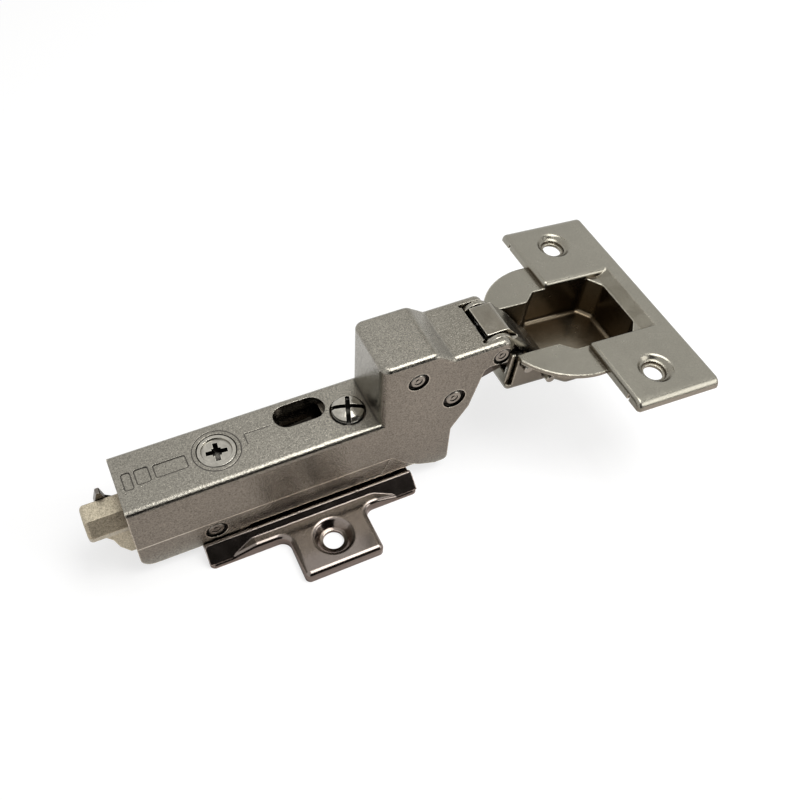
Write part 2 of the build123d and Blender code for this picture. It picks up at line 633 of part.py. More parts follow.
# outer link: folded plate, two ears joined by a web, and a tongue that closes
# the gap between the arm's tines
with BuildPart() as outer_link:
    with BuildSketch(on_outer(OUTER_HALF)):
        Circle(3.9)
        with Locations((OUTER_LEN, 0)):
            Circle(2.0)
        with BuildLine():
            Polyline(
                (1.2, 3.7), (3.0, 4.35), (7.75, 3.75), (11.5, 2.9), (OUTER_LEN + 0.2, 1.99), (OUTER_LEN, 0),
                (OUTER_LEN - 1.2, -1.6), (13.2, 0.3), (9.5, 2.05), (5.4, 2.05), (2.6, 2.9), close=True,
            )
        make_face()
    extrude(amount=2 * OUTER_HALF)
    bend = outer_link.edges().filter_by(lambda e: abs(abs(e.center().Y) - OUTER_HALF) < 0.01)
    bend = bend.filter_by(lambda e: on_outer(0).to_local_coords(e.center()).Y > 2.3)
    bend = bend.filter_by(lambda e: on_outer(0).to_local_coords(e.center()).X > 5)
    fillet(bend, 1.35)
    with BuildSketch(on_outer(OUTER_GAP)):
        with BuildLine():
            Polyline(
                (-6, -6), (-6, 6), (3.0, 6), (3.0, 3.35), (7.65, 2.78), (11.3, 1.98), (15.2, 1.35),
                (17.4, 1.3),
                (20, 1.3), (20, -6), close=True,
            )
        make_face()
    extrude(amount=2 * OUTER_GAP, mode=Mode.SUBTRACT)
    with BuildSketch(on_outer(TONGUE_HALF)):
        with BuildLine():
            Polyline(
                (-4.22, 1.50), (-0.374, 4.845), (3.3, 4.31), (3.3, 3.3), (-0.064, 3.789),
                (-3.563, 0.746), close=True,
            )
        make_face()
        fillet(vertices().filter_by(lambda v: v.Y > 4.5), 1.2)
        fillet(vertices().filter_by(lambda v: 3.7 < v.Y < 3.9), 0.3)
    extrude(amount=2 * TONGUE_HALF)
    for centre, radius in (((0, 0), PIN_R + RUN), ((OUTER_LEN, 0), AXLE_R + RUN)):
        with BuildSketch(on_outer(OUTER_HALF + 1)):
            with Locations(centre):
                Circle(radius)
        extrude(amount=2 * OUTER_HALF + 2, mode=Mode.SUBTRACT)
finish(outer_link.part, "outer_link")

# inner link: folded channel with an eye on the cup's axle and, in the arm, a
# rounded window round the link pin
PIN_TRACK = [
    (17.17, 0.0), (15.0, -0.48), (13.2, -0.31), (12.0, 0.32), (11.4, 1.18), (11.4, 2.04), (12.0, 2.68),
    (13.1, 2.9), (14.5, 2.57), (15.9, 1.6),
]
with BuildPart() as inner_link:
    with BuildSketch(on_inner(-INNER_HALF)):
        with BuildLine():
            Polyline(*PIN_TRACK, close=True)
        make_face()
        offset(amount=PIN_R + 0.3 + 1.2, kind=Kind.ARC)
        Circle(2.1)
        with BuildLine():
            Polyline(
                (-0.2, -2.09), (13.5, -3.1), (12.0, 5.2), (8.0, 3.6), (3.6, 2.0), (0.2, 2.09),
                close=True,
            )
        make_face()
    extrude(amount=2 * INNER_HALF)
    with BuildSketch(on_inner(-INNER_GAP)):
        with BuildLine():
            Polyline(
                (-3, -4), (2.2, -4), (2.6, -1.2), (8.0, -1.6), (11.5, -2.1), (16.0, -2.1), (17.0, -4),
                (22, -4),
                (22, 8), (-3, 8), close=True,
            )
        make_face()
    extrude(amount=2 * INNER_GAP, mode=Mode.SUBTRACT)
    with BuildSketch(on_inner(-INNER_HALF - 1)):
        with BuildLine():
            Polyline(*PIN_TRACK, close=True)
        make_face()
        offset(amount=PIN_R + 0.3, kind=Kind.ARC)
        Circle(AXLE_R + RUN)
    extrude(amount=2 * INNER_HALF + 2, mode=Mode.SUBTRACT)
finish(inner_link.part, "inner_link")


# ------------------------------------------------------------------------ cup
POCKET = [
    (-15.4, -6.9), (-4.5, -6.9), (-1.5, -POCKET_V), (13.6, -POCKET_V), (16.2, -6.2), (16.2, 6.2),
    (13.6, POCKET_V), (-1.5, POCKET_V), (-4.5, 6.9), (-15.4, 6.9),
]
with BuildPart() as hinge_cup:
    # wings with their down-turned rims
    with BuildSketch(CUP.offset(-WING_RIM)):
        with Locations(((WING_U0 + WING_U1) / 2, 0)):
            Rectangle(WING_U1 - WING_U0, 2 * WING_HALF)
    extrude(amount=WING_RIM)
    ends = hinge_cup.edges().filter_by(lambda e: abs(in_cup(e).Z) < 0.01 and abs(in_cup(e).Y) > 28)
    fillet(ends, 2.0)
    far = hinge_cup.edges().filter_by(lambda e: abs(in_cup(e).Z) < 0.01 and abs(in_cup(e).Y) < 1)
    fillet(far.filter_by(lambda e: in_cup(e).X > WING_U1 - 0.1), 0.8)
    inside = CUP.from_local_coords((WING_U0 + SHEET, 0, 0))
    with BuildSketch(Plane(origin=inside, x_dir=(0, 1, 0), z_dir=CUP.x_dir)):
        with Locations((0, -SHEET - 2)):
            Rectangle(2 * (WING_HALF - SHEET), 4)
        fillet(vertices().filter_by(lambda v: v.Y > -1), 1.4)
    extrude(amount=WING_U1 - WING_U0 - 2 * SHEET, mode=Mode.SUBTRACT)
    # sloping lip under the pocket's mouth
    with BuildSketch(CUP.offset(-WING_RIM)):
        with Locations(((WING_U0 + MOUTH_U - 1.0) / 2, 0)):
            Rectangle(MOUTH_U - 1.0 - WING_U0, 2 * MOUTH_V - 1.6)
    extrude(amount=WING_RIM - 0.3, taper=-MOUTH_SLOPE)
    # pressed pocket and the round rim in front of the wings
    with BuildSketch(CUP.offset(-POCKET_H)):
        with BuildLine():
            Polyline(*POCKET, close=True)
        make_face()
        fillet(vertices().filter_by(lambda v: -14 < v.X < 10), 1.2)
        fillet(vertices().filter_by(lambda v: v.X > 10), 1.6)
        offset(amount=SHEET, kind=Kind.ARC)
    extrude(amount=POCKET_H - SHEET + 0.2)
    floor = hinge_cup.faces().filter_by(lambda f: abs(in_cup(f).Z + POCKET_H) < 0.01)
    fillet(floor.sort_by(SortBy.AREA)[-1].edges(), 2.0)
    with BuildSketch(CUP.offset(-RIM_STEP)):
        with Locations((WING_U0 - 20, 0)):
            Rectangle(40, 30)
    extrude(amount=3, mode=Mode.SUBTRACT)
    with BuildSketch(CUP.offset(-RIM_STEP - SHEET)):
        Circle(RIM_R)
        with Locations((WING_U0 + SHEET + 20, 0), (-35.4, 0)):
            Rectangle(40, 40, mode=Mode.SUBTRACT)
    extrude(amount=SHEET)
    with BuildSketch(CUP.offset(-POCKET_H + SHEET)):
        with BuildLine():
            Polyline(*POCKET, close=True)
        make_face()
        fillet(vertices().filter_by(lambda v: -14 < v.X < 10), 1.2)
        fillet(vertices().filter_by(lambda v: v.X > 10), 1.6)
    extrude(amount=20, mode=Mode.SUBTRACT)
    bottom = hinge_cup.faces().filter_by(lambda f: abs(in_cup(f).Z + POCKET_H - SHEET) < 0.01)
    fillet(bottom.sort_by(SortBy.AREA)[-1].edges(), 1.2)
    with BuildSketch(across_cup(POCKET_V)):
        with BuildLine():
            Polyline(
                (12.0, -MOUTH_H), (16.3, -MOUTH_H), (17.1, -1.1), (MOUTH_U, 0), (MOUTH_U, 3), (12.0, 3),
                close=True,
            )
        make_face()
    extrude(amount=2 * POCKET_V, mode=Mode.SUBTRACT)
    top = hinge_cup.edges().filter_by(lambda e: abs(in_cup(e).Z) < 0.01)
    mouth = top.filter_by(lambda e: 1.4 < in_cup(e).X < MOUTH_U + 0.1)
    fillet(mouth.filter_by(lambda e: abs(in_cup(e).Y) < POCKET_V + 0.1), 1.0)
    top = hinge_cup.edges().filter_by(lambda e: abs(in_cup(e).Z) < 0.01)
    fillet(top.filter_by(lambda e: abs(in_cup(e).X - WING_U0) < 0.05), 0.8)
    # front wall: cut down in the middle for the links, parted from the cheeks
    with BuildSketch(CUP.offset(-7.6)):
        with Locations((-16, 0)):
            Rectangle(2.4, 11.8)
    extrude(amount=10, mode=Mode.SUBTRACT)
    with BuildSketch(CUP.offset(-10)):
        with Locations((-16, -7.9), (-16, 7.9)):
            Rectangle(2.0, 2.0)
    extrude(amount=12, mode=Mode.SUBTRACT)
    # axle holes
    for place in (AXLE_LINK_IN, AXLE_LINK_OUT):
        with BuildSketch(across_cup(12)):
            with Locations(place):
                Circle(AXLE_R)
        extrude(amount=24, mode=Mode.SUBTRACT)
    # slits where the rims meet at the wing corners
    with BuildSketch(CUP.offset(-WING_RIM - 1)):
        with Locations((WING_U0, -25.2), (WING_U0, 25.2), (WING_U1, -25.2), (WING_U1, 25.2)):
            Rectangle(2.4, 0.5)
    extrude(amount=WING_RIM + 1 - SHEET, mode=Mode.SUBTRACT)
    # dished screw holes
    for v in (-CUP_SCREW_V, CUP_SCREW_V):
        hole = Plane(origin=CUP.from_local_coords((CUP_SCREW_U, v, 0)), x_dir=CUP.x_dir, z_dir=(0, -1, 0))
        spin = Axis(hole.origin, CUP.z_dir)
        with BuildSketch(hole):
            with BuildLine():
                Polyline(
                    (2.15, -2.2), (2.15, -1.5), (2.8, -1.5), (2.8, -1.0), (3.2, -0.85), (4.1, 0), (6.0, 0),
                    (6.0, -SHEET), (4.9, -SHEET), (3.5, -2.2), close=True,
                )
            make_face()
            fillet(vertices().filter_by(lambda v: abs(v.Y) < 0.01 and v.X < 5), 0.9)
        revolve(axis=spin)
        with BuildSketch(hole):
            with BuildLine():
                Polyline(
                    (0, -3), (2.15, -3), (2.15, -1.5), (2.8, -1.5), (2.8, -1.0), (3.2, -0.85),
                    (4.1, 0), (6.5, 0),
                    (6.5, 1), (0, 1), close=True,
                )
            make_face()
            fillet(vertices().filter_by(lambda v: abs(v.Y) < 0.01 and v.X < 5), 0.9)
        revolve(axis=spin, mode=Mode.SUBTRACT)
finish(hinge_cup.part, "hinge_cup")

# axle bent from one rod: two legs through the cup's cheeks
AXLE_NEAR, AXLE_FAR = -9.8, 9.3
axle_in = CUP.from_local_coords((AXLE_LINK_IN[0], 0, AXLE_LINK_IN[1]))
axle_out = CUP.from_local_coords((AXLE_LINK_OUT[0], 0, AXLE_LINK_OUT[1]))
axle_step = (axle_out - axle_in).length
axle_plane = Plane(origin=axle_in, x_dir=(0, 1, 0), z_dir=Vector(0, 1, 0).cross(axle_out - axle_in))
with BuildPart() as cup_axle:
    with BuildLine(axle_plane):
        rod = FilletPolyline(
            (AXLE_NEAR, 0), (AXLE_FAR, 0), (AXLE_FAR, axle_step), (AXLE_NEAR, axle_step),
            radius=1.5,
        )
    with BuildSketch(Plane(origin=rod @ 0, z_dir=rod % 0)):
        Circle(AXLE_R)
    sweep(path=rod)
    chamfer(cup_axle.faces().sort_by(Axis.Y)[:2].edges(), 0.25)
finish(cup_axle.part, "cup_axle")
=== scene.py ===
import math

import bmesh
import bpy
from mathutils import Matrix, Vector


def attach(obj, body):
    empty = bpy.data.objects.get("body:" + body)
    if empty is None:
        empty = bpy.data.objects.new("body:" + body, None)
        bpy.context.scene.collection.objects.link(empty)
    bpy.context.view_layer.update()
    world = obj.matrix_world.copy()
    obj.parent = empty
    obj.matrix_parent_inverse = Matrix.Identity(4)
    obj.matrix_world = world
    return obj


bl_info = {
    "name": "Concealed cup hinge",
    "version": (1, 0, 0),
    "blender": (4, 5, 0),
    "location": "View3D > Sidebar > Hinge",
    "description": "Finishes and studio for a clip-on concealed cabinet hinge",
    "category": "Object",
}

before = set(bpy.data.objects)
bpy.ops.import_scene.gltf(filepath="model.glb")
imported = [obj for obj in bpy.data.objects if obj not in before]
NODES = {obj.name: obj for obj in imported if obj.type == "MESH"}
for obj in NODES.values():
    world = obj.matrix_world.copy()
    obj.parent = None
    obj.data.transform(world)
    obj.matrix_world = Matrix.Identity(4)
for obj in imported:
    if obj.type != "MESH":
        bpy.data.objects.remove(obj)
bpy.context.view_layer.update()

MM = 0.001

# --------------------------------------------------------------- places on the arm
DECK = 23.4 * MM                    # top of the deck
SKIRT_TOP = 10.6 * MM               # below this the side walls are set in
SKIRT_END = 4.6 * MM                # lower edge of the set-in walls
FULL_SIDE = 7.6 * MM                # just inside the full side walls
SET_IN_SIDE = 7.2 * MM              # just inside the set-in side walls
HIGHLIGHT_HEIGHT = 0.28 * MM             # height of the painted highlight lines along the skirt
HIGHLIGHT_MARGIN = 0.01 * MM           # they start this far below the edge

# (rear end, front end, lower edge, half width) of each painted highlight line along the skirt
SKIRT_HIGHLIGHT_LINES = (
    (-40 * MM, 17.6 * MM, SKIRT_TOP, FULL_SIDE),
    (-15.4 * MM, 24.4 * MM, SKIRT_END, SET_IN_SIDE),
)

# (x, z, radius) of the recesses round the pin heads, where shade is painted
PIN_RECESSES = (
    (42.2 * MM, 33.5 * MM, 2.2 * MM),
    (31.6 * MM, 24.7 * MM, 2.65 * MM),
    (22.6 * MM, 34.3 * MM, 2.35 * MM),
    (-22.8 * MM, 6.9 * MM, 2.4 * MM),
)

# The deck's grooves, in millimetres: (x0, x1, y0, y1) of the field marks,
# (x, y, x size, y size) of the seams, and (x, y, radius) of the ring round the cam.
# A dark sheet in them paints their shade; it reaches from just above their floor to just above the
# deck.
FIELD_MARKS = (
    (-37.8, -35.9, -2.0, 2.3),
    (-35.2, -32.3, -1.5, 2.3),
    (-31.4, -24.7, -1.3, 2.0),
)
SEAMS = ((-9.2, 2.1, 5.8, 0.2), (10.1, 2.1, 5.8, 0.2), (-12.1, 0.7, 0.2, 2.8))
CAM_RING = (-18.5, 0.4, 5.025)
CORNER = 0.5                        # corner radius of the field marks
CORNER_STEPS = 5
OVERLAP = 0.05                      # the painted shade laps over a mark's rim
MARK_LINE = 0.12                    # how far it reaches into the mark
RING_HALF = 0.10                    # half the width of the ring
RING_STEPS = 96
GROOVE_SHADE_LOW = DECK - 0.115 * MM     # just above the grooves' floor
GROOVE_SHADE_TOP = DECK + 0.004 * MM


# --------------------------------------------------------------- settings
def color_setting(name, description, default):
    return bpy.props.FloatVectorProperty(
        name=name, description=description, default=default,
        subtype="COLOR", size=3, min=0, max=1,
    )


def length_setting(name, description, default):
    return bpy.props.FloatProperty(
        name=name, description=description, default=default,
        subtype="DISTANCE", unit="LENGTH", min=0,
    )


def angle_setting(name, description, degrees):
    return bpy.props.FloatProperty(
        name=name, description=description, default=math.radians(degrees),
        subtype="ANGLE", unit="ROTATION",
    )


def power_setting(name, description, default):
    return bpy.props.FloatProperty(
        name=name, description=description, default=default, unit="POWER", min=0,
    )


class HingeFinishes(bpy.types.PropertyGroup):
    """Colours and surface values of the metals."""

    cast_color: color_setting("Cast nickel", "Plated die-cast arm", (0.300, 0.282, 0.240))
    sheet_color: color_setting("Sheet nickel", "Pressed cup", (0.285, 0.270, 0.225))
    link_color: color_setting("Link nickel", "Folded front link", (0.300, 0.282, 0.240))
    plate_color: color_setting("Plate nickel", "Glossy wing plate", (0.240, 0.205, 0.182))
    zinc_color: color_setting("Raw zinc", "Unplated release lever", (0.530, 0.468, 0.350))
    bright_color: color_setting("Bright steel", "Screws, cam and axle", (0.420, 0.400, 0.350))
    pin_color: color_setting("Pin steel", "Riveted pins", (0.340, 0.320, 0.280))
    dark_color: color_setting(
        "Dark steel", "Inner channel, rail and inner link", (0.060, 0.054, 0.048),
    )
    # colour of the dark sheet that paints shade in the deck's grooves
    groove_shade_color: color_setting(
        "Groove residue", "Dark residue in the deck's grooves", (0.035, 0.030, 0.025),
    )
    # rubbed edges are smoother, and a highlight is painted along them
    edge_width: length_setting("Rubbed edge", "Width of the rubbed edges", 0.40 * MM)
    # painted shade in engraved lines
    line_shade_reach: length_setting("Dark line", "Reach of the dark tone in engraved lines", 0.3 * MM)
    # painted shade in creases
    crease_shade_reach: length_setting("Dark crease", "Reach of the dark tone in creases", 0.80 * MM)
    # painted brown shade in the casting's hollows
    hollow_shade_reach: length_setting(
        "Brown hollow", "Reach of the brown tone in the casting's hollows", 9.0 * MM,
    )
    # painted brown shade in pressed pockets
    pocket_shade_reach: length_setting(
        "Brown pocket", "Reach of the brown tone in pressed pockets", 20.0 * MM,
    )


class HingeStudio(bpy.types.PropertyGroup):
    """Camera and light."""

    lens: bpy.props.FloatProperty(
        name="Lens", description="Focal length on a 36 mm sensor", default=41.75,
        unit="CAMERA", min=1,
    )
    distance: length_setting("Camera distance", "From the camera to its target", 0.204)
    target: bpy.props.FloatVectorProperty(
        name="Target", description="Point the camera looks at",
        default=(0.02302, 0.00059, 0.01901), subtype="TRANSLATION", unit="LENGTH", size=3,
    )
    yaw: angle_setting("Yaw", "Camera's bearing", -28.36)
    pitch: angle_setting("Pitch", "Camera's height angle", 51.06)
    roll: angle_setting("Roll", "Camera's tilt about its view", 3.86)
    ambient: bpy.props.FloatProperty(
        name="Room light", description="Brightness of the room on matt surfaces",
        default=0.25, min=0,
    )
    key_power: power_setting("Overhead softbox", "Power of the softbox overhead", 2.4)
    side_power: power_setting("Right softbox", "Power of the softbox on the right", 0.8)
    cup_power: power_setting("Cup softbox", "Power of the small softbox before the cup", 0.14)


# --------------------------------------------------------------- shader kit
def shader(name, color, metallic, roughness):
    """A material with one principled shader; returns it with its node tree and shader."""
    mat = bpy.data.materials.new(name)
    mat.use_nodes = True
    tree = mat.node_tree
    tree.nodes.clear()
    out = tree.nodes.new("ShaderNodeOutputMaterial")
    bsdf = tree.nodes.new("ShaderNodeBsdfPrincipled")
    tree.links.new(bsdf.outputs["BSDF"], out.inputs["Surface"])
    bsdf.inputs["Base Color"].default_value = (*color, 1)
    bsdf.inputs["Metallic"].default_value = metallic
    bsdf.inputs["Roughness"].default_value = roughness
    return mat, tree, bsdf


def place(tree, stretch=(1, 1, 1)):
    """Object coordinates in metres, stretched."""
    coord = tree.nodes.new("ShaderNodeTexCoord")
    mapping = tree.nodes.new("ShaderNodeMapping")
    mapping.inputs["Scale"].default_value = stretch
    tree.links.new(coord.outputs["Object"], mapping.inputs["Vector"])
    return mapping.outputs["Vector"]


def noise(tree, where, scale, detail, rough=0.55):
    """Noise from 0 to 1 with about scale features to the metre."""
    n = tree.nodes.new("ShaderNodeTexNoise")
    n.inputs["Scale"].default_value = scale
    n.inputs["Detail"].default_value = detail
    n.inputs["Roughness"].default_value = rough
    tree.links.new(where, n.inputs["Vector"])
    return n.outputs["Fac"]


def spread(tree, value, low, high, to_low, to_high):
    """Map value from low..high to to_low..to_high, clamped."""
    n = tree.nodes.new("ShaderNodeMapRange")
    n.inputs["From Min"].default_value = low
    n.inputs["From Max"].default_value = high
    n.inputs["To Min"].default_value = to_low
    n.inputs["To Max"].default_value = to_high
    tree.links.new(value, n.inputs["Value"])
    return n.outputs["Result"]


def between(tree, value, low, high):
    """Spread the middle of a noise over low to high."""
    return spread(tree, value, 0.3, 0.7, low, high)


def mix(tree, factor, first, second, blend="MIX"):
    """Blend two colours, each a socket or a plain RGB."""
    n = tree.nodes.new("ShaderNodeMix")
    n.data_type = "RGBA"
    n.blend_type = blend
    tree.links.new(factor, n.inputs["Factor"])
    for socket, value in ((n.inputs[6], first), (n.inputs[7], second)):
        if isinstance(value, bpy.types.NodeSocket):
            tree.links.new(value, socket)
        else:
            socket.default_value = (*value, 1)
    return n.outputs[2]


def mix_value(tree, factor, first, second):
    """Blend two values, each a socket or a number."""
    n = tree.nodes.new("ShaderNodeMix")
    n.data_type = "FLOAT"
    tree.links.new(factor, n.inputs[0])
    for socket, value in ((n.inputs[2], first), (n.inputs[3], second)):
        if isinstance(value, bpy.types.NodeSocket):
            tree.links.new(value, socket)
        else:
            socket.default_value = value
    return n.outputs[0]


def calc(tree, how, first, second):
    """Clamped arithmetic on two values, each a socket or a number."""
    n = tree.nodes.new("ShaderNodeMath")
    n.operation = how
    n.use_clamp = True
    for socket, value in zip(n.inputs, (first, second)):
        if isinstance(value, bpy.types.NodeSocket):
            tree.links.new(value, socket)
        else:
            socket.default_value = value
    return n.outputs["Value"]


def bump(tree, height, depth, strength, under=None):
    """Relief of the given depth, laid over the relief under it."""
    n = tree.nodes.new("ShaderNodeBump")
    n.inputs["Distance"].default_value = depth
    n.inputs["Strength"].default_value = strength
    tree.links.new(height, n.inputs["Height"])
    if under is not None:
        tree.links.new(under, n.inputs["Normal"])
    return n.outputs["Normal"]


def round_normal(tree, radius):
    """Softens edges as if they had this radius."""
    n = tree.nodes.new("ShaderNodeBevel")
    n.samples = 6
    n.inputs["Radius"].default_value = radius
    return n.outputs["Normal"]


def occlusion(tree, reach, inside, local=False):
    """Share of open directions within reach, outside the metal or inside it."""
    n = tree.nodes.new("ShaderNodeAmbientOcclusion")
    n.samples = 8
    n.inside = inside
    n.only_local = local
    n.inputs["Distance"].default_value = reach
    return n.outputs["AO"]


# the rubbed edges: less rough there, and a highlight is painted on them
def wear_and_highlight_edges(tree, where, reach):
    """1 along outer edges, broken up by noise."""
    edge = spread(tree, occlusion(tree, reach, True), 0.88, 0.55, 0.0, 1.0)
    broken = spread(tree, noise(tree, where, 1300, 2), 0.32, 0.62, 0.25, 1.0)
    return calc(tree, "MULTIPLY", edge, broken)


def off_the_flat(tree):
    """0 on faces that look straight up, 1 on bends and walls."""
    facing = tree.nodes.new("ShaderNodeNewGeometry")
    split = tree.nodes.new("ShaderNodeSeparateXYZ")
    tree.links.new(facing.outputs["Normal"], split.inputs["Vector"])
    return spread(tree, split.outputs["Z"], 0.999, 0.985, 0.0, 1.0)


def creases(tree, reach, shallow=0.80, deep=0.25, local=False):
    """1 deep in grooves, gaps and inner corners."""
    return spread(tree, occlusion(tree, reach, False, local), shallow, deep, 0.0, 1.0)


def pits(tree, where, scale, size, unpitted):
    """Small scattered pits: 1 inside a pit. unpitted is the share of cells left smooth."""
    cell = tree.nodes.new("ShaderNodeTexVoronoi")
    cell.inputs["Scale"].default_value = scale
    tree.links.new(where, cell.inputs["Vector"])
    dot = spread(tree, cell.outputs["Distance"], size, size * 0.4, 0.0, 1.0)
    split = tree.nodes.new("ShaderNodeSeparateColor")
    tree.links.new(cell.outputs["Color"], split.inputs["Color"])
    chosen = calc(tree, "GREATER_THAN", split.outputs["Red"], unpitted)
    return calc(tree, "MULTIPLY", dot, chosen)


def tint(color, factor):
    """The colour made brighter or darker."""
    return tuple(min(1.0, c * factor) for c in color)


# --------------------------------------------------------------- painted highlight and painted shade on the arm
def skirt_highlight_lines(tree, where):
    """1 along the skirt's edges, where a highlight is painted."""
    split = tree.nodes.new("ShaderNodeSeparateXYZ")
    tree.links.new(where, split.inputs["Vector"])
    x, y, z = (split.outputs[axis] for axis in "XYZ")
    lines = None
    for rear, front, low, side in SKIRT_HIGHLIGHT_LINES:
        left = calc(tree, "LESS_THAN", y, -side)
        line = calc(tree, "ADD", left, calc(tree, "GREATER_THAN", y, side))
        for value, how, limit in (
            (x, "GREATER_THAN", rear),
            (x, "LESS_THAN", front),
            (z, "GREATER_THAN", low - HIGHLIGHT_MARGIN),
            (z, "LESS_THAN", low + HIGHLIGHT_HEIGHT),
        ):
            line = calc(tree, "MULTIPLY", line, calc(tree, how, value, limit))
        lines = line if lines is None else calc(tree, "MAXIMUM", lines, line)
    return lines


def pin_recesses(tree):
    """1 in the recesses round the pin heads, where shade is painted."""
    side_view = place(tree, (1, 0, 1))
    recesses = None
    for x, z, radius in PIN_RECESSES:
        away = tree.nodes.new("ShaderNodeVectorMath")
        away.operation = "DISTANCE"
        tree.links.new(side_view, away.inputs[0])
        away.inputs[1].default_value = (x, 0, z)
        recess = calc(tree, "LESS_THAN", away.outputs["Value"], radius)
        recesses = recess if recesses is None else calc(tree, "MAXIMUM", recesses, recess)
    return recesses


# --------------------------------------------------------------- finishes
CAST_HOLLOW_SHADE = (0.42, 0.34, 0.28)     # brown tone painted as shade in the casting's hollows
PRESSED_POCKET_SHADE = (0.48, 0.39, 0.30)  # brown tone painted as shade in pressed pockets
CREASE_SHADE = 0.08                  # share of the colour that a crease keeps, as painted shade
LINE_SHADE = 0.10                    # share of it in engraved lines and pin recesses, as painted shade
SKIRT_HIGHLIGHT_GAIN = 2.5                    # gain of the painted highlight along the skirt's edges
RUBBED_ROUGHNESS = 0.8              # a rubbed edge's share of the lowest roughness
RECESS_SHADE = 0.02                  # share of the colour in the recesses of steel heads, as painted shade
RECESS_ROUGHNESS = 0.7
STEEL_ROUND = 0.1 * MM              # radius that softens the edges of steel pieces


def paint_shade_and_highlight(tree, tone, color, f, crease, edge, highlight_gain):
    """Painted shade in creases and engraved lines, and a painted highlight on rubbed edges, over a
    tone.
    """
    tone = mix(tree, crease, tone, tint(color, CREASE_SHADE))
    tone = mix(tree, edge, tone, tint(color, highlight_gain))
    line = creases(tree, f.line_shade_reach, 0.72, 0.42)
    return mix(tree, line, tone, tint(color, LINE_SHADE))


def set_roughness(tree, bsdf, mottle, rough, edge):
    """Mottled roughness, lower along rubbed edges."""
    base = between(tree, mottle, *rough)
    rubbed = rough[0] * RUBBED_ROUGHNESS
    tree.links.new(mix_value(tree, edge, base, rubbed), bsdf.inputs["Roughness"])


def cast_nickel(
    name, color, f, metallic=1.0, rough=(0.17, 0.27), unpitted=0.84, highlight_gain=2.9, arm=False,
):
    """Satin plating on a die casting: fine grain, sparse pits, painted shade in hollows and
    creases, a painted highlight on rubbed edges.
    """
    mat, tree, bsdf = shader(name, color, metallic, 0.25)
    where = place(tree)
    fine = noise(tree, where, 4200, 4, 0.65)
    coarse = noise(tree, where, 2300, 3, 0.6)
    pit = pits(tree, where, 900, 0.20, unpitted)
    edge = calc(tree, "MULTIPLY", wear_and_highlight_edges(tree, where, f.edge_width), off_the_flat(tree))
    cloud = between(tree, noise(tree, where, 70, 4), 0, 1)
    tone = mix(tree, cloud, tint(color, 0.94), tint(color, 1.05))
    tone = mix(tree, spread(tree, fine, 0.42, 0.62, 0.0, 1.0), tone, tint(color, 0.52))
    tone = mix(tree, spread(tree, coarse, 0.48, 0.68, 0.0, 0.4), tone, tint(color, 1.45))
    tone = mix(tree, pit, tone, tint(color, 0.40))
    # painted brown shade in the hollows
    hollow = creases(tree, f.hollow_shade_reach, 0.62, 0.20)
    tone = mix(tree, hollow, tone, CAST_HOLLOW_SHADE, "MULTIPLY")
    # painted shade in the creases
    crease = creases(tree, f.crease_shade_reach, 0.84, 0.32)
    tone = paint_shade_and_highlight(tree, tone, color, f, crease, edge, highlight_gain)
    if arm:
        # painted highlight along the skirt's edges
        tone = mix(tree, skirt_highlight_lines(tree, where), tone, tint(color, SKIRT_HIGHLIGHT_GAIN))
        # painted shade in the recesses round the pin heads
        tone = mix(tree, pin_recesses(tree), tone, tint(color, LINE_SHADE))
    tree.links.new(tone, bsdf.inputs["Base Color"])
    set_roughness(tree, bsdf, noise(tree, where, 480, 3), rough, edge)
    n = bump(tree, noise(tree, where, 160, 2), 0.06 * MM, 0.5, round_normal(tree, 0.25 * MM))
    n = bump(tree, coarse, 0.060 * MM, 1.0, n)
    n = bump(tree, fine, 0.026 * MM, 0.9, n)
    n = bump(tree, calc(tree, "SUBTRACT", 1.0, pit), 0.04 * MM, 0.7, n)
    tree.links.new(n, bsdf.inputs["Normal"])
    return mat


def sheet_nickel(
    name, color, f, rough=(0.20, 0.28), stretch=(1, 1, 1), streak=0.5, highlight_gain=2.2,
    soften=0.30 * MM,
):
    """Satin plating on pressed sheet: faint rolling lines, clouded tone, painted shade in pockets
    and creases, a painted highlight on bends.
    """
    mat, tree, bsdf = shader(name, color, 1.0, 0.22)
    where = place(tree)
    fine = noise(tree, where, 3600, 3, 0.6)
    lines = noise(tree, place(tree, stretch), 1100, 4, 0.6)
    edge = wear_and_highlight_edges(tree, where, f.edge_width)
    cloud = between(tree, noise(tree, where, 55, 3), 0, 1)
    tone = mix(tree, cloud, tint(color, 0.93), tint(color, 1.06))
    tone = mix(tree, spread(tree, lines, 0.4, 0.7, 0, streak * 0.5), tone, tint(color, 0.78))
    tone = mix(tree, spread(tree, fine, 0.38, 0.68, 0, 0.8), tone, tint(color, 0.80))
    # painted brown shade in the pockets
    pocket = creases(tree, f.pocket_shade_reach, 0.86, 0.50, local=True)
    tone = mix(tree, pocket, tone, PRESSED_POCKET_SHADE, "MULTIPLY")
    tone = paint_shade_and_highlight(tree, tone, color, f, creases(tree, f.crease_shade_reach), edge, highlight_gain)
    tree.links.new(tone, bsdf.inputs["Base Color"])
    set_roughness(tree, bsdf, noise(tree, where, 320, 4), rough, edge)
    n = bump(tree, noise(tree, where, 110, 2), 0.05 * MM, 0.4, round_normal(tree, soften))
    n = bump(tree, lines, 0.008 * MM, streak, n)
    n = bump(tree, fine, 0.008 * MM, 0.6, n)
    tree.links.new(n, bsdf.inputs["Normal"])
    return mat


